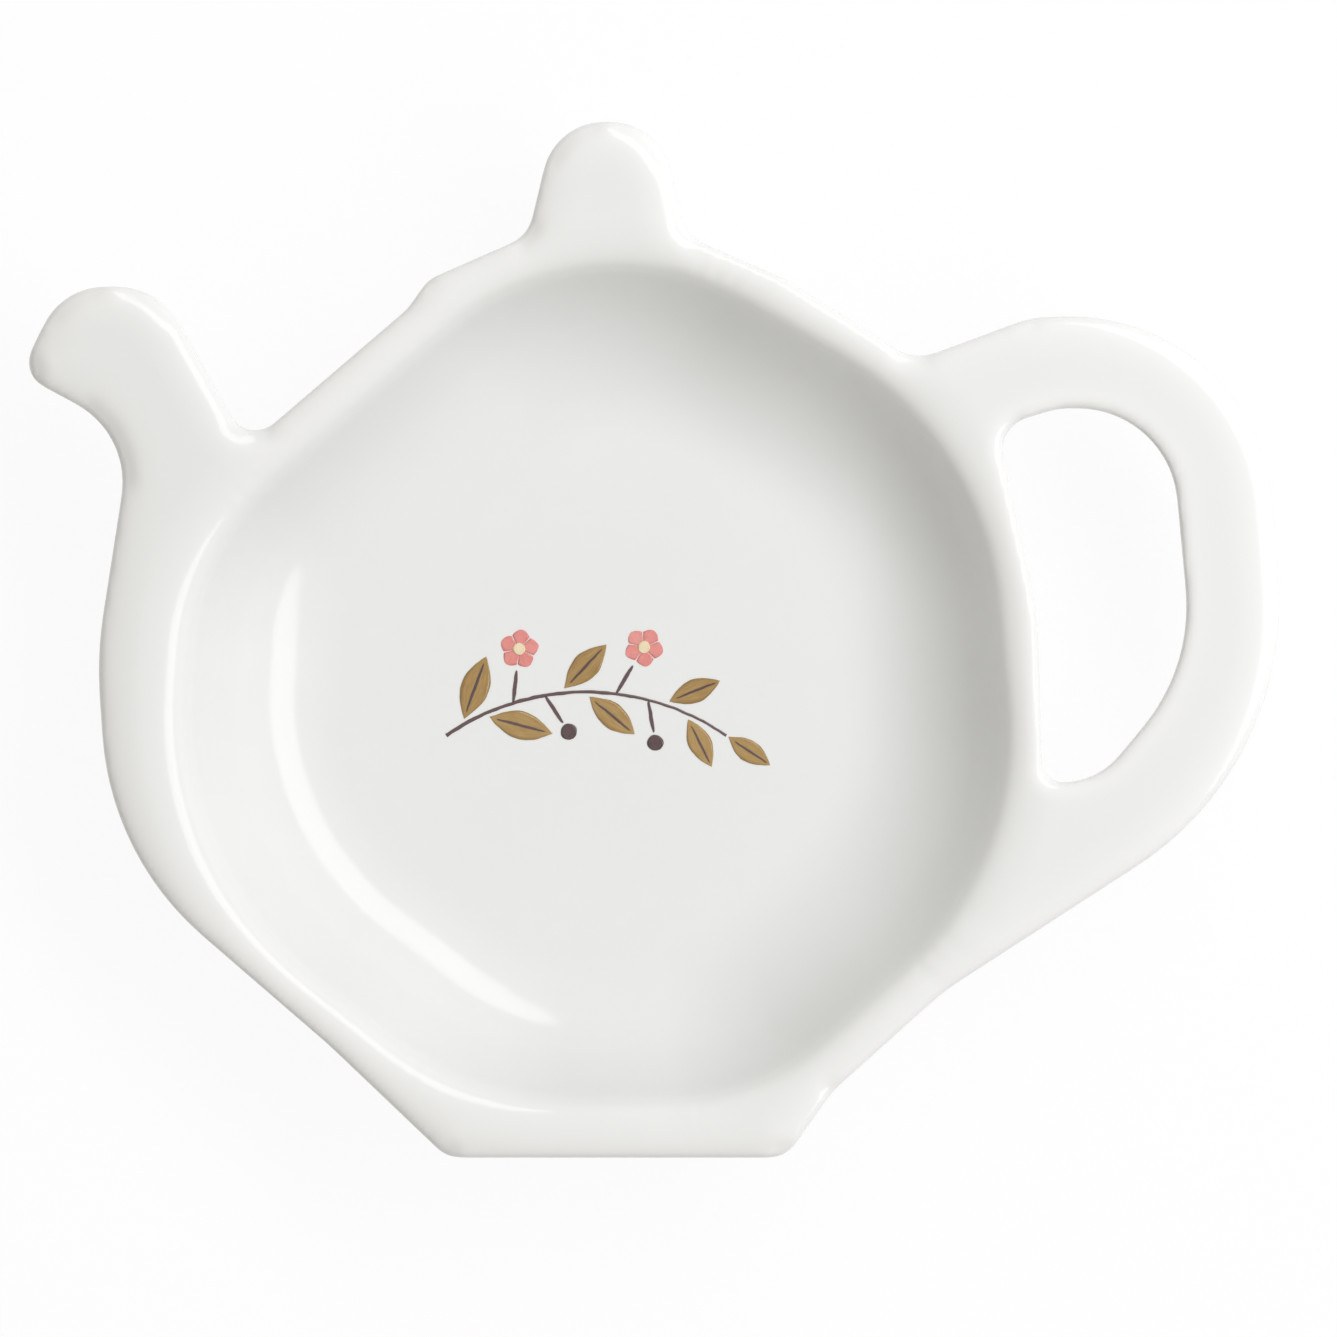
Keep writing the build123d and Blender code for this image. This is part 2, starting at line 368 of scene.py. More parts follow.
def brush_wash_group():
    """A wash of ink from a brush: streaks along the stroke, a thick rim, and strokes that differ."""
    streak_waves = (3.0, 5.0, 40.0)    # along a stroke, across it, and from stroke to stroke
    streak_scale = 1.6
    plain_streak = 0.42      # streaks above this thicken the ink, and those below thin it
    bloom_share = 0.5        # how much soft blooms thicken the ink
    bloom_start = -0.2       # what ink without a bloom loses
    rim_sharpness = 4.0      # how closely the thick rim keeps to the stroke's edges
    stroke_share = 0.35      # how much thicker the wettest stroke is
    tree, given, result = new_group(
        "ShaderNodeTree", "Brush Wash",
        {"Thin Ink": COLOUR, "Thick Ink": COLOUR, "Streaks": NUMBER, "Rim": NUMBER}, {"Color": COLOUR})
    along, across, stroke = [attribute(tree, name) for name in ("along", "across", "stroke")]
    grain = calc_vector(tree, "MULTIPLY", combine(tree, along, across, stroke), streak_waves)
    streak = calc(tree, "SUBTRACT", noise(tree, grain, streak_scale, detail=4.0), plain_streak)
    streak = calc(tree, "MULTIPLY", streak, given["Streaks"])
    bloom = noise(tree, object_place(tree), INK_BLOOM, detail=3.0)
    bloom = calc(tree, "MULTIPLY_ADD", bloom, bloom_share, bloom_start)
    rim = calc(tree, "POWER", calc(tree, "ABSOLUTE", across), rim_sharpness)
    thick = calc(tree, "ADD", calc(tree, "MULTIPLY_ADD", rim, given["Rim"], streak), bloom)
    thick = calc(tree, "MULTIPLY_ADD", stroke, stroke_share, thick, clamp=True)
    ink_colour = mix_colour(tree, thick, given["Thin Ink"], given["Thick Ink"])
    tree.links.new(ink_colour, result.inputs["Color"])
    return tree


def new_material(name):
    """An empty material with its shader."""
    material = bpy.data.materials.new(name)
    material.use_nodes = True
    tree = material.node_tree
    return material, tree, tree.nodes["Principled BSDF"]


def add_skin(tree, shader, gloss, dullness):
    """The glaze's ripples on a shader; gives its roughness."""
    ripple_strength = 0.05
    ripple_height = 0.6 * MM
    skin = add_node(
        tree, "ShaderNodeGroup", {"Gloss": gloss, "Dullness": dullness},
        node_tree=shared("Glaze Skin", glaze_skin_group)).outputs
    bump = {"Height": skin["Height"], "Strength": ripple_strength, "Distance": ripple_height}
    tree.links.new(add_node(tree, "ShaderNodeBump", bump).outputs[0], shader.inputs["Normal"])
    return skin["Roughness"]


def china_finish(settings):
    """White glaze over pale clay, bare under the foot ring."""
    reflection = 0.25        # half the strength that reflections have by default
    cloud_share = 0.5        # how much soft clouds pool the glaze
    # Painted light: where glaze thins along an edge the edge is also painted lighter than the glaze,
    # lifting its shade
    edge_light_share = 0.8         # how much glaze draws away from an edge
    fleck_share = 0.14       # share of the cells that hold a fleck
    fleck_radius = 0.013     # as a share of a cell
    edge_stray = 0.4 * MM    # how far the glaze's lower edge wanders
    edge_blur = 0.125 * MM   # over what height the glaze ends
    clay_roughness = 0.7     # what bare clay adds to the glaze's roughness
    material, tree, shader = new_material("white_glazed_china")
    gloss = add_skin(tree, shader, *CHINA_GLOSS)
    shader.inputs["Specular IOR Level"].default_value = reflection
    place = object_place(tree)

    # Glaze pools in hollows and soft clouds, and thins along edges, where a lighter colour is painted light
    # over the rounded edges' shade
    run = attribute(tree, "glaze_run")
    cloud = noise(tree, place, GLAZE_CLOUDS, detail=3.0)
    pooled = calc(tree, "MULTIPLY_ADD", cloud, cloud_share, calc(tree, "MAXIMUM", run, 0.0), clamp=True)
    thinned_lit_edge = calc(tree, "MULTIPLY", run, -edge_light_share, clamp=True)

    # Flecks: only the nearest points of a few scattered cells
    cells = add_node(tree, "ShaderNodeTexVoronoi", {"Vector": place, "Scale": FLECK_CELLS}).outputs
    cell_draw = add_node(tree, "ShaderNodeSeparateColor", {0: cells["Color"]}).outputs[0]
    has_fleck = calc(tree, "GREATER_THAN", cell_draw, 1 - fleck_share)
    fleck = calc(tree, "MULTIPLY", calc(tree, "LESS_THAN", cells["Distance"], fleck_radius), has_fleck)

    # The foot ring's bare clay, with an uneven edge to the glaze
    wander = noise(tree, place, GLAZE_EDGE, detail=2.0)
    edge = calc(tree, "MULTIPLY_ADD", wander, edge_stray, settings.bare_height - edge_stray / 2)
    below = calc(tree, "SUBTRACT", edge, separate(tree, place)[2])
    bare = calc(tree, "DIVIDE", below, edge_blur, clamp=True)
    sand = noise(tree, place, CLAY_SAND, detail=4.0)

    white = mix_colour(tree, pooled, settings.glaze, settings.pooled)
    # Painted light: where glaze thins on edges the colour turns lighter, lifting their shade
    white = mix_colour(tree, thinned_lit_edge, white, settings.pale_edge_light)
    white = mix_colour(tree, fleck, white, settings.fleck)
    clay = mix_colour(tree, sand, settings.bisque, settings.pale_edge_light)
    tree.links.new(mix_colour(tree, bare, white, clay), shader.inputs["Base Color"])
    roughness = calc(tree, "MULTIPLY_ADD", bare, clay_roughness, gloss, clamp=True)
    tree.links.new(roughness, shader.inputs["Roughness"])
    return material


def ink(settings, name):
    """A printed ink under the glaze, made once."""
    made = bpy.data.materials.get(f"{name}_wash")
    if made:
        return made
    material, tree, shader = new_material(f"{name}_wash")
    streaks, rim = INKS[name]
    inputs = {
        "Thin Ink": (*getattr(settings, name), 1.0), "Thick Ink": (*getattr(settings, f"{name}_deep"), 1.0),
        "Streaks": streaks, "Rim": rim}
    wash = add_node(tree, "ShaderNodeGroup", inputs, node_tree=shared("Brush Wash", brush_wash_group))
    tree.links.new(wash.outputs["Color"], shader.inputs["Base Color"])
    tree.links.new(add_skin(tree, shader, *INK_GLOSS), shader.inputs["Roughness"])
    return material


# Geometry trees

def point_place(tree):
    """Where a point lies."""
    return add_node(tree, "GeometryNodeInputPosition").outputs[0]


def store(tree, geometry, name, value, domain="POINT"):
    """A geometry with a number stored on each of its points or instances."""
    inputs = {"Geometry": geometry, "Name": name, "Value": value}
    return add_node(
        tree, "GeometryNodeStoreNamedAttribute", inputs, data_type="FLOAT", domain=domain).outputs[0]


def join(tree, *geometries):
    """Several geometries as one."""
    node = tree.nodes.new("GeometryNodeJoinGeometry")
    for geometry in geometries:
        tree.links.new(geometry, node.inputs[0])
    return node.outputs[0]


def weld(tree, geometry):
    """A geometry whose points are one where they meet."""
    inputs = {"Geometry": geometry, "Distance": WELD}
    return add_node(tree, "GeometryNodeMergeByDistance", inputs).outputs[0]


def finish_tree(tree, geometry, material, result):
    """The end of every tree: smooth, real geometry with its material."""
    smooth = add_node(tree, "GeometryNodeSetShadeSmooth", {"Geometry": geometry}).outputs[0]
    real = add_node(tree, "GeometryNodeRealizeInstances", {"Geometry": smooth}).outputs[0]
    painted = add_node(tree, "GeometryNodeSetMaterial", {"Geometry": real, "Material": material}).outputs[0]
    tree.links.new(painted, result.inputs["Geometry"])


def faces_where(tree, geometry, chosen):
    """The chosen faces of a geometry."""
    inputs = {"Geometry": geometry, "Selection": chosen}
    return add_node(tree, "GeometryNodeSeparateGeometry", inputs, domain="FACE").outputs["Selection"]


def nearness(tree, faces, place, level, width):
    """How near points are to some faces, when looked for at a level: 1 on them, 0 from a width on."""
    inputs = {"Geometry": faces, "Sample Position": combine(tree, place[0], place[1], level)}
    distance = add_node(tree, "GeometryNodeProximity", inputs, target_element="FACES").outputs["Distance"]
    return calc(tree, "SUBTRACT", 1.0, calc(tree, "DIVIDE", distance, width), clamp=True)


def crown_tree():
    """Lets the slab's top fall towards its outline and the well, and marks where glaze pools and where it
    thins on edges, which the finish paints lighter as painted light.
    """
    mean_passes = 14         # passes that blur a point into the mean of its surroundings
    full_run = 0.16 * MM     # depth below that mean at which a hollow is full of glaze
    tree, given, result = new_group(
        "GeometryNodeTree", "Crowned Slab",
        {"Geometry": SHAPE, "Solid": OBJECT, "Slab Middle": NUMBER, "Top": NUMBER,
         "Edge Drop": NUMBER, "Edge Width": NUMBER, "Lip Drop": NUMBER, "Lip Width": NUMBER,
         "Hole Middle": PLACE, "Hole Reach": NUMBER, "Material": MATERIAL},
        {"Geometry": SHAPE})
    position = point_place(tree)
    place = separate(tree, position)
    normal = add_node(tree, "GeometryNodeInputNormal").outputs[0]
    rise = separate(tree, normal)[2]
    half = calc(tree, "SUBTRACT", given["Top"], given["Slab Middle"])
    above_middle = calc(tree, "SUBTRACT", place[2], given["Slab Middle"])

    # The slab's upright sides and the well's leaning wall, taken from the solid. The finger hole's sides
    # look towards its middle, and the slab stays level beside them
    solid = add_node(tree, "GeometryNodeObjectInfo", {"Object": given["Solid"]}).outputs["Geometry"]
    in_slab = calc(tree, "LESS_THAN", calc(tree, "ABSOLUTE", above_middle), half)
    to_hole = calc_vector(tree, "SUBTRACT", given["Hole Middle"], position)
    looks_away = calc(tree, "LESS_THAN", calc_vector(tree, "DOT_PRODUCT", to_hole, normal), 0.0)
    far = calc(tree, "GREATER_THAN", calc_vector(tree, "LENGTH", to_hole), given["Hole Reach"])
    upright = calc(tree, "MULTIPLY", in_slab, calc(tree, "COMPARE", rise, *UPRIGHT_RISE))
    upright = calc(tree, "MULTIPLY", upright, calc(tree, "MAXIMUM", looks_away, far))
    leaning = calc(tree, "MULTIPLY", in_slab, calc(tree, "COMPARE", rise, *WALL_RISE))
    sides = faces_where(tree, solid, upright)
    wall = faces_where(tree, solid, leaning)

    # The fall of the slab's top, full at the top and none from the slab's middle down
    by_edge = nearness(tree, sides, place, given["Slab Middle"], given["Edge Width"])
    by_lip = nearness(tree, wall, place, given["Top"], given["Lip Width"])
    fall = calc(tree, "MULTIPLY", calc(tree, "POWER", by_edge, 2.0), given["Edge Drop"])
    fall = calc(tree, "MULTIPLY_ADD", calc(tree, "POWER", by_lip, 2.0), given["Lip Drop"], fall)
    fall = calc(tree, "MULTIPLY", fall, calc(tree, "DIVIDE", above_middle, half, clamp=True))
    down = combine(tree, z=calc(tree, "MULTIPLY", fall, -1.0))
    inputs = {"Geometry": given["Geometry"], "Offset": down}
    crowned = add_node(tree, "GeometryNodeSetPosition", inputs).outputs[0]

    # Hollows hold glaze, and edges lose it and are painted lighter as painted light: a point against the
    # mean of its surroundings
    inputs = {"Value": position, "Iterations": mean_passes}
    mean = add_node(tree, "GeometryNodeBlurAttribute", inputs, data_type="FLOAT_VECTOR").outputs[0]
    run = calc_vector(tree, "DOT_PRODUCT", calc_vector(tree, "SUBTRACT", mean, position), normal)
    marked = store(tree, crowned, "glaze_run", calc(tree, "DIVIDE", run, full_run))
    finish_tree(tree, marked, given["Material"], result)
    return tree


def ink_film_group():
    """Gives flat strokes a hand-painted edge and the thickness of a film of ink."""
    tree, given, result = new_group(
        "GeometryNodeTree", "Ink Film",
        {"Strokes": SHAPE, "Thickness": NUMBER, "Wobble": NUMBER}, {"Film": SHAPE})

    # The noise lies around a half, and a stroke strays only on its own level
    stray = noise(tree, point_place(tree), PAINTED_EDGE, detail=2.0, output="Color")
    stray = calc_vector(tree, "SUBTRACT", stray, (0.5, 0.5, 0.5))
    stray = calc_vector(tree, "MULTIPLY", stray, (1.0, 1.0, 0.0))
    stray = calc_vector(tree, "SCALE", stray, calc(tree, "MULTIPLY", given["Wobble"], 2.0))
    inputs = {"Geometry": given["Strokes"], "Offset": stray}
    flat = weld(tree, add_node(tree, "GeometryNodeSetPosition", inputs).outputs[0])

    # The film is the flat strokes raised by its thickness, and closed below
    inputs = {
        "Mesh": flat, "Offset": (0.0, 0.0, 1.0), "Offset Scale": given["Thickness"], "Individual": False}
    top = add_node(tree, "GeometryNodeExtrudeMesh", inputs, mode="FACES").outputs["Mesh"]
    under = add_node(tree, "GeometryNodeFlipFaces", {0: flat}).outputs[0]
    tree.links.new(weld(tree, join(tree, top, under)), result.inputs["Film"])
    return tree


STEM_INPUTS = {
    "Geometry": SHAPE, "Span": NUMBER, "Rise": NUMBER, "Shift": PLACE,
    "Thickness": NUMBER, "Wobble": NUMBER, "Material": MATERIAL,
}


def sample_stem(tree, given, factor):
    """The place and the direction of the arched stem at a share of its length."""
    arch_points = 96
    half = calc(tree, "DIVIDE", given["Span"], 2.0)
    ends = {
        "Start": combine(tree, x=calc(tree, "MULTIPLY", half, -1.0)),
        "Middle": combine(tree, y=given["Rise"]),
        "End": combine(tree, x=half),
    }
    inputs = {"Resolution": arch_points, **ends}
    arch = add_node(tree, "GeometryNodeCurveArc", inputs, mode="POINTS").outputs["Curve"]
    sample = add_node(
        tree, "GeometryNodeSampleCurve", {"Curves": arch, "Factor": factor},
        mode="FACTOR", use_all_curves=True).outputs
    return sample["Position"], sample["Tangent"]


def stroke_grid(tree, points):
    """A flat grid, with how far along and how far across the stroke each point lies."""
    steps_along, steps_across = points
    inputs = {"Size X": 1.0, "Size Y": 2.0, "Vertices X": steps_along, "Vertices Y": steps_across}
    grid = add_node(tree, "GeometryNodeMeshGrid", inputs).outputs["Mesh"]
    place = separate(tree, point_place(tree))
    grid = store(tree, grid, "along", calc(tree, "ADD", place[0], 0.5))
    grid = store(tree, grid, "across", place[1])
    along, across = [
        add_node(tree, "GeometryNodeInputNamedAttribute", {"Name": name}, data_type="FLOAT").outputs[0]
        for name in ("along", "across")
    ]
    return grid, along, across


def finish_strokes(tree, given, strokes, result):
    """Strokes become films of ink, beside what the piece already has."""
    inputs = {"Geometry": strokes, "New": given["Material"]}
    strokes = add_node(tree, "GeometryNodeReplaceMaterial", inputs).outputs[0]
    inputs = {"Strokes": strokes, "Thickness": given["Thickness"], "Wobble": given["Wobble"]}
    film = add_node(
        tree, "GeometryNodeGroup", inputs, node_tree=shared("Ink Film", ink_film_group)).outputs[0]
    finish_tree(tree, join(tree, film, given["Geometry"]), given["Material"], result)


def place_points(tree, geometry, place):
    """A geometry with its points put in their places."""
    inputs = {"Geometry": geometry, "Position": place}
    return add_node(tree, "GeometryNodeSetPosition", inputs).outputs[0]


def stem_tree():
    """One long stroke along the stem, thinner towards its tip."""
    least_press = 0.25       # share of its width that a stroke has without pressure
    press_span = 0.8         # what full pressure adds
    root_width = 1.1         # share of its width at the root of the stem
    tip_loss = 0.35          # what it loses on the way to the tip
    tree, given, result = new_group(
        "GeometryNodeTree", "Stem Stroke", {**STEM_INPUTS, "Width": NUMBER}, {"Geometry": SHAPE})
    grid, along, across = stroke_grid(tree, STEM_POINTS)
    place, direction = sample_stem(tree, given, along)
    side = turn_level(tree, direction, pi / 2)
    press = noise(tree, place, BRUSH_PRESSURE, detail=2.0)
    pressed = calc(tree, "MULTIPLY_ADD", press, press_span, least_press)
    width = calc(tree, "MULTIPLY", given["Width"], pressed)
    width = calc(tree, "MULTIPLY", width, calc(tree, "MULTIPLY_ADD", along, -tip_loss, root_width))
    reach = calc(tree, "MULTIPLY", across, calc(tree, "MULTIPLY", width, 0.5))
    place = calc_vector(tree, "ADD", place, calc_vector(tree, "SCALE", side, reach))
    place = calc_vector(tree, "ADD", place, given["Shift"])
    finish_strokes(tree, given, place_points(tree, grid, place), result)
    return tree


def dab_tree():
    """Dabs of a brush at even shares of the stem, each leaving it at a slant, single or in rings."""
    sector_share = 0.93      # how much of its sector a petal in a ring may fill
    widest_sector = 1.45     # half a sector in radians, for a dab that stands alone
    root_share = 0.02        # a dab starts a little off its point, so that a ring's petals don't meet
    tree, given, result = new_group(
        "GeometryNodeTree", "Dabs Along Stem",
        {**STEM_INPUTS, "Count": COUNT, "Ring": COUNT, "First": NUMBER, "Step": NUMBER, "Slant": NUMBER,
         "Start": NUMBER, "Length": NUMBER, "Width": NUMBER, "Fullness": NUMBER, "Taper": NUMBER,
         "Seed": COUNT},
        {"Geometry": SHAPE})

    # One dab, swelling between its ends
    grid, along, across = stroke_grid(tree, DAB_POINTS)
    out = calc(tree, "MULTIPLY_ADD", along, 1 - root_share, root_share)
    out = calc(tree, "MULTIPLY", out, given["Length"])
    swell = calc(tree, "POWER", calc(tree, "SINE", calc(tree, "MULTIPLY", along, pi)), given["Fullness"])
    swell = calc(tree, "MULTIPLY", swell, calc(tree, "DIVIDE", given["Width"], 2.0))
    sector = calc(tree, "MINIMUM", calc(tree, "DIVIDE", sector_share * pi, given["Ring"]), widest_sector)
    swell = calc(tree, "MINIMUM", swell, calc(tree, "MULTIPLY", out, calc(tree, "TANGENT", sector)))
    dab = place_points(tree, grid, combine(tree, out, calc(tree, "MULTIPLY", across, swell)))

    # Where the dabs start: their share of the stem, and their turn in a ring. The half that is added to
    # their number keeps the division from falling short
    index = add_node(tree, "GeometryNodeInputIndex").outputs[0]
    group = calc(tree, "FLOOR", calc(tree, "DIVIDE", calc(tree, "ADD", index, 0.5), given["Ring"]))
    in_ring = calc(tree, "SUBTRACT", index, calc(tree, "MULTIPLY", group, given["Ring"]))
    factor = calc(tree, "MULTIPLY_ADD", group, given["Step"], given["First"])
    place, direction = sample_stem(tree, given, factor)
    direction = turn_level(tree, direction, given["Slant"])
    place = calc_vector(tree, "ADD", place, calc_vector(tree, "SCALE", direction, given["Start"]))
    place = calc_vector(tree, "ADD", place, given["Shift"])
    inputs = {"Count": calc(tree, "MULTIPLY", given["Count"], given["Ring"]), "Position": place}
    points = add_node(tree, "GeometryNodePoints", inputs).outputs[0]

    # Every dab turned, sized and given its own wetness
    level = separate(tree, direction)
    heading = calc(tree, "ARCTAN2", level[1], level[0])
    turn = calc(tree, "DIVIDE", calc(tree, "MULTIPLY", in_ring, 2 * pi), given["Ring"])
    rotation = combine(tree, z=calc(tree, "ADD", heading, turn))
    scale = calc(tree, "SUBTRACT", 1.0, calc(tree, "MULTIPLY", given["Taper"], factor))
    inputs = {"Points": points, "Instance": dab, "Rotation": rotation, "Scale": scale}
    dabs = add_node(tree, "GeometryNodeInstanceOnPoints", inputs).outputs[0]
    inputs = {"Seed": given["Seed"]}
    wetness = add_node(tree, "FunctionNodeRandomValue", inputs, data_type="FLOAT").outputs[1]
    dabs = store(tree, dabs, "stroke", wetness, "INSTANCE")
    strokes = add_node(tree, "GeometryNodeRealizeInstances", {"Geometry": dabs}).outputs[0]
    finish_strokes(tree, given, strokes, result)
    return tree


# Operators

class TEAREST_OT_china(bpy.types.Operator):
    """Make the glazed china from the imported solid"""

    bl_idname = "tea_rest.make_china"
    bl_label = "Make Glazed China"

    def execute(self, context):
        settings = context.scene.tea_rest_china
        solid = frame["nodes"]["china_body"]
        middle = CHINA_TOP - settings.slab_thickness / 2
        bevel_foot = CHINA_TOP - settings.edge_height

        # Edges are rounded on a fine skin, and the finished skin is laid over it
        shell = new_piece("china_shell", self.merged_copy(solid.data, middle, bevel_foot))
        self.add_even_skin(shell, settings.fine_grain)
        self.add_softening(shell, settings.melting)
        settle(shell)
        china = new_piece("glazed_china", shell.data.copy())
        self.add_even_skin(china, settings.grain)
        wrap = china.modifiers.new("Melted Surface", "SHRINKWRAP")
        wrap.target = shell
        self.add_softening(china, settings.softening)
        add_modifier(china, crown_tree(), {
            "Solid": solid, "Top": CHINA_TOP, "Slab Middle": middle,
            "Edge Drop": settings.edge_drop, "Edge Width": settings.edge_width,
            "Lip Drop": settings.lip_drop, "Lip Width": settings.lip_width,
            "Hole Middle": (HOLE_LOW + HOLE_HIGH) / 2, "Hole Reach": (HOLE_HIGH - HOLE_LOW).length,
            "Material": china_finish(settings)})
        settle(china)
        bpy.data.objects.remove(shell)
        hand_over(china, "china_body")
        return {"FINISHED"}

    def merged_copy(self, solid, middle, bevel_foot):
        """A closed copy of the solid with lower top bevels: their feet lie where the upright sides end."""
        mesh = solid.copy()
        mesh.materials.clear()
        shell = bmesh.new()
        shell.from_mesh(mesh)
        bmesh.ops.remove_doubles(shell, verts=shell.verts, dist=WELD)
        for point in shell.verts:
            on_side = any(abs(face.normal.z) < UPRIGHT_RISE[1] for face in point.link_faces)
            if on_side and point.co.z > middle:
                point.co.z = bevel_foot
        shell.to_mesh(mesh)
        shell.free()
        return mesh

    def add_even_skin(self, piece, grain):
        """A skin of even squares in the place of a piece's own faces."""
        remesh = piece.modifiers.new("Even Skin", "REMESH")
        remesh.mode = "VOXEL"
        remesh.voxel_size = grain

    def add_softening(self, piece, passes):
        """Passes that round a skin's edges as melting glaze does."""
        soften = piece.modifiers.new("Softening", "SMOOTH")
        soften.factor = 0.5
        soften.iterations = passes


def print_pass(sprig, part, ink_name, film, runs):
    """One pass of ink, in the place of its CAD node: one run of strokes after another on a film's level."""
    low, high = film
    material = ink(sprig, ink_name)
    piece = new_piece(f"printed_{part}", bpy.data.meshes.new(f"printed_{part}"))
    piece.data.materials.append(material)
    trees = {"stem": shared("Stem Stroke", stem_tree), "dabs": shared("Dabs Along Stem", dab_tree)}
    common = {
        "Span": sprig.span, "Rise": sprig.rise, "Shift": (sprig.shift_x, sprig.shift_y, low.z),
        "Thickness": high.z - low.z, "Wobble": sprig.wobble, "Step": sprig.step, "Ring": 1, "Count": 1,
        "Taper": 0.0, "Fullness": FULLNESS["disc"], "Material": material}
    for seed, (kind, values) in enumerate(runs):
        add_modifier(piece, trees[kind], {**common, "Seed": seed, **values})
    settle(piece)
    hand_over(piece, f"print_{part}")


def twig_spots(sprig):
    """Where the twigs of blossoms and those of berries leave the stem."""
    blossoms = {"Count": sprig.twigs, "First": sprig.blossom_twig, "Slant": sprig.twig_slant}
    berries = {"Count": sprig.twigs, "First": sprig.berry_twig, "Slant": -sprig.twig_slant}
    return blossoms, berries


class TEAREST_OT_stems(bpy.types.Operator):
    """Print the stem and the twigs"""

    bl_idname = "tea_rest.print_stems"
    bl_label = "Print Stems"

    def execute(self, context):
        sprig = context.scene.tea_rest_sprig
        twig = {"Start": 0.0, "Length": sprig.twig_length, "Width": sprig.twig_width,
                "Fullness": FULLNESS["twig"]}
        runs = [("stem", {"Width": sprig.stem_width})]
        runs += [("dabs", {**twig, **spot}) for spot in twig_spots(sprig)]
        print_pass(sprig, "stems", "plum", FLOOR_FILM, runs)
        return {"FINISHED"}


def leaf_runs(sprig, inset, width, fullness):
    """Leaves above the stem, below it and at its tip, or their veins, which are shorter at both ends."""
    clear = (sprig.stem_width / 2 + sprig.ink_gap) / sin(sprig.leaf_slant)
    leaf = {"Count": sprig.side_leaves, "Length": sprig.leaf_length - 2 * inset, "Width": width,
            "Fullness": fullness, "Taper": sprig.leaf_taper, "Start": clear + inset}
    return [
        ("dabs", {**leaf, "First": sprig.upper_leaf, "Slant": sprig.leaf_slant}),
        ("dabs", {**leaf, "First": sprig.lower_leaf, "Slant": -sprig.leaf_slant}),
        ("dabs", {**leaf, "First": 1.0, "Slant": 0.0, "Count": 1, "Start": sprig.ink_gap + inset}),
    ]


class TEAREST_OT_leaves(bpy.types.Operator):
    """Print the leaves and their veins"""

    bl_idname = "tea_rest.print_leaves"
    bl_label = "Print Leaves"

    def execute(self, context):
        sprig = context.scene.tea_rest_sprig
        leaves = leaf_runs(sprig, 0.0, sprig.leaf_width, FULLNESS["leaf"])
        print_pass(sprig, "leaves", "mustard", FLOOR_FILM, leaves)
        veins = leaf_runs(sprig, sprig.vein_inset, sprig.vein_width, FULLNESS["vein"])
        print_pass(sprig, "leaf_veins", "plum", OVER_FILM, veins)
        return {"FINISHED"}


class TEAREST_OT_blossoms(bpy.types.Operator):
    """Print the blossoms and their eyes"""

    bl_idname = "tea_rest.print_blossoms"
    bl_label = "Print Blossoms"

    def execute(self, context):
        sprig = context.scene.tea_rest_sprig
        spot, _ = twig_spots(sprig)
        middle = sprig.twig_length + sprig.ink_gap + sprig.petal_length
        petals = {**spot, "Ring": sprig.petals, "Start": middle, "Length": sprig.petal_length,
                  "Width": sprig.petal_width, "Fullness": FULLNESS["petal"]}
        print_pass(sprig, "blossoms", "coral", FLOOR_FILM, [("dabs", petals)])
        eye = {**spot, "Start": middle - sprig.eye_width / 2, "Length": sprig.eye_width,
               "Width": sprig.eye_width}
        print_pass(sprig, "blossom_eyes", "cream", OVER_FILM, [("dabs", eye)])
        return {"FINISHED"}


class TEAREST_OT_berries(bpy.types.Operator):
    """Print the berries"""

    bl_idname = "tea_rest.print_berries"
    bl_label = "Print Berries"

    def execute(self, context):
        sprig = context.scene.tea_rest_sprig
        _, spot = twig_spots(sprig)
        berry = {**spot, "Start": sprig.twig_length + sprig.ink_gap, "Length": sprig.berry_width,
                 "Width": sprig.berry_width}
        print_pass(sprig, "berries", "plum", FLOOR_FILM, [("dabs", berry)])
        return {"FINISHED"}


def seen_rays(tree):
    """Rays that show a background: the camera's own, and those through gloss and glass."""
    rays = add_node(tree, "ShaderNodeLightPath").outputs
    seen = calc(tree, "MAXIMUM", rays["Is Camera Ray"], rays["Is Glossy Ray"])
    return calc(tree, "MAXIMUM", seen, rays["Is Transmission Ray"])


def floor_finish(settings):
    """A pale floor that the camera sees as nearly plain white, with the part's shadow."""
    grain_depth = 0.015      # how much darker the floor's grain is
    roughness = 0.9
    material, tree, shader = new_material("white_floor")
    grain = noise(tree, object_place(tree), FLOOR_GRAIN, detail=2.0)
    pale = [(1 - grain_depth) * value for value in settings.floor]
    tree.links.new(mix_colour(tree, grain, pale, settings.floor), shader.inputs["Base Color"])
    shader.inputs["Roughness"].default_value = roughness
    shader.inputs["Specular IOR Level"].default_value = 0.0
    white = add_node(tree, "ShaderNodeEmission", {"Color": (*WHITE, 1.0), "Strength": 1.0}).outputs[0]
    seen = calc(tree, "MULTIPLY", seen_rays(tree), settings.floor_white)
    both = add_node(tree, "ShaderNodeMixShader", {0: seen, 1: shader.outputs[0], 2: white}).outputs[0]
    tree.links.new(both, tree.nodes["Material Output"].inputs["Surface"])
    return material


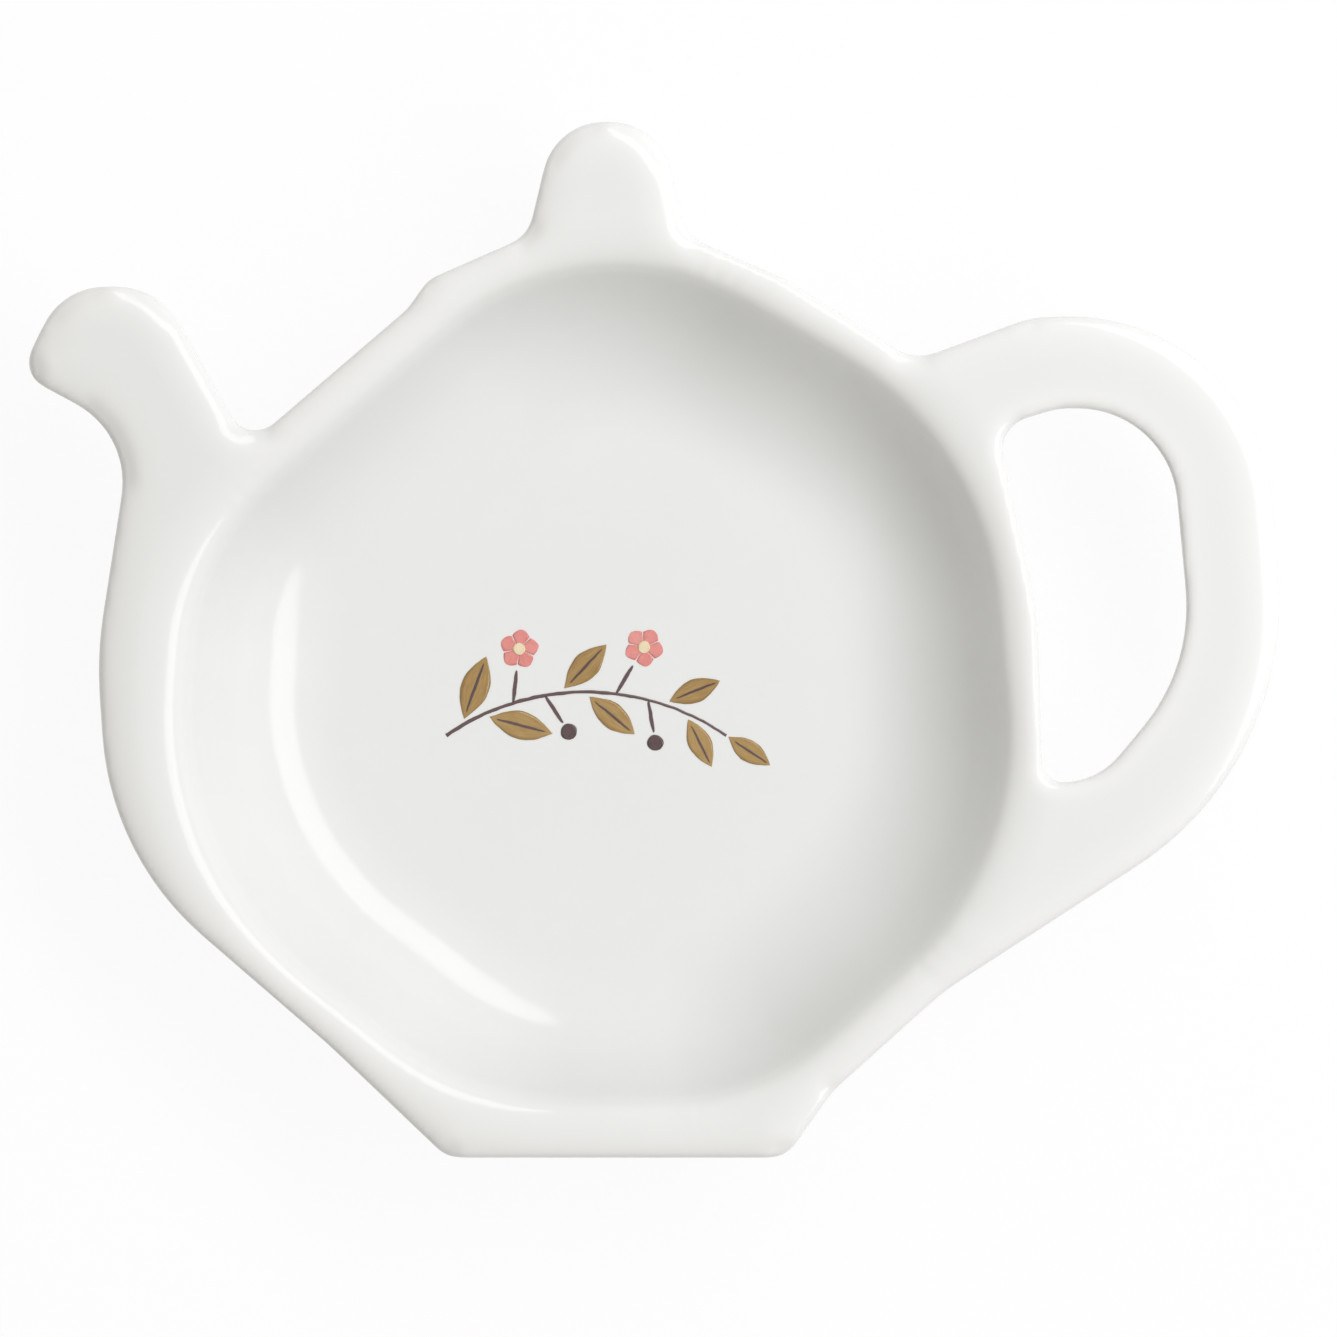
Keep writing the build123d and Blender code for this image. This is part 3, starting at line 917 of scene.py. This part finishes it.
class TEAREST_OT_stage(bpy.types.Operator):
    """Set the floor, the light and the camera"""

    bl_idname = "tea_rest.set_stage"
    bl_label = "Set Stage"

    def execute(self, context):
        settings = context.scene.tea_rest_stage
        context.scene.view_settings.view_transform = "Standard"
        self.lay_floor(settings)
        self.light_world(context, settings)
        self.hang_soft_box(context, settings)
        self.set_camera(context, settings)
        return {"FINISHED"}

    def lay_floor(self, settings):
        """A wide floor on the level that the foot ring stands on."""
        mesh = bpy.data.meshes.new("floor")
        half = settings.floor_width / 2
        corners = [(-half, -half, 0), (half, -half, 0), (half, half, 0), (-half, half, 0)]
        mesh.from_pydata(corners, [], [(0, 1, 2, 3)])
        mesh.materials.append(floor_finish(settings))
        new_piece("floor", mesh)

    def light_world(self, context, settings):
        """Even light from all round, seen as plain white."""
        world = bpy.data.worlds.new("light_tent")
        context.scene.world = world
        world.use_nodes = True
        tree = world.node_tree
        background = tree.nodes["Background"]
        seen = seen_rays(tree)
        tree.links.new(mix_colour(tree, seen, settings.ambient_tone, WHITE), background.inputs["Color"])
        tree.links.new(calc(tree, "MAXIMUM", seen, settings.ambient), background.inputs["Strength"])

    def hang_soft_box(self, context, settings):
        """A wide, rounded soft box beyond the handle and the knob."""
        lamp = bpy.data.lights.new("soft_box", "AREA")
        lamp.shape = "ELLIPSE"
        lamp.color = settings.key_tone
        lamp.size = 2 * settings.key_distance * tan(settings.key_spread / 2)
        lamp.size_y = 2 * settings.key_distance * tan(settings.key_height / 2)
        area = pi / 4 * lamp.size * lamp.size_y
        lamp.energy = settings.key_strength * pi * area
        box = bpy.data.objects.new("soft_box", lamp)
        level = cos(settings.key_lift)
        turn = settings.key_turn
        aim = Vector((level * cos(turn), level * sin(turn), sin(settings.key_lift)))
        box.location = aim * settings.key_distance
        box.rotation_euler = aim.to_track_quat("Z", "Y").to_euler()
        context.scene.collection.objects.link(box)

    def set_camera(self, context, settings):
        """A long lens straight above the part."""
        farthest_seen = 100.0    # metres
        lens = bpy.data.cameras.new("overhead")
        lens.lens = settings.lens
        lens.clip_end = farthest_seen
        camera = bpy.data.objects.new("overhead", lens)
        distance = settings.view_width * lens.lens / lens.sensor_width
        camera.location = (settings.view_x, settings.view_y, CHINA_TOP + distance)
        context.scene.collection.objects.link(camera)
        context.scene.camera = camera


STEPS = (
    TEAREST_OT_china, TEAREST_OT_stems, TEAREST_OT_leaves, TEAREST_OT_blossoms, TEAREST_OT_berries,
    TEAREST_OT_stage)
SETTINGS = {
    "tea_rest_china": ChinaSettings, "tea_rest_sprig": SprigSettings, "tea_rest_stage": StageSettings}


class TEAREST_PT_panel(bpy.types.Panel):
    """Steps and settings of the tea bag rest"""

    bl_idname = "TEAREST_PT_panel"
    bl_label = "Tea Bag Rest"
    bl_space_type = "VIEW_3D"
    bl_region_type = "UI"
    bl_category = "Tea Rest"

    def draw(self, context):
        for step in STEPS:
            self.layout.operator(step.bl_idname)
        for name, settings in SETTINGS.items():
            box = self.layout.box()
            for setting in settings.__annotations__:
                box.prop(getattr(context.scene, name), setting)


def register():
    """Registers settings, steps and panel."""
    for kind in (*SETTINGS.values(), *STEPS, TEAREST_PT_panel):
        bpy.utils.register_class(kind)
    for name, settings in SETTINGS.items():
        setattr(bpy.types.Scene, name, bpy.props.PointerProperty(type=settings))


def unregister():
    """Takes them out again."""
    for name in SETTINGS:
        delattr(bpy.types.Scene, name)
    for kind in reversed((*SETTINGS.values(), *STEPS, TEAREST_PT_panel)):
        bpy.utils.unregister_class(kind)


def main():
    """Runs every step."""
    register()
    bpy.ops.tea_rest.make_china()
    bpy.ops.tea_rest.print_stems()
    bpy.ops.tea_rest.print_leaves()
    bpy.ops.tea_rest.print_blossoms()
    bpy.ops.tea_rest.print_berries()
    bpy.ops.tea_rest.set_stage()


if __name__ == "__main__":
    main()
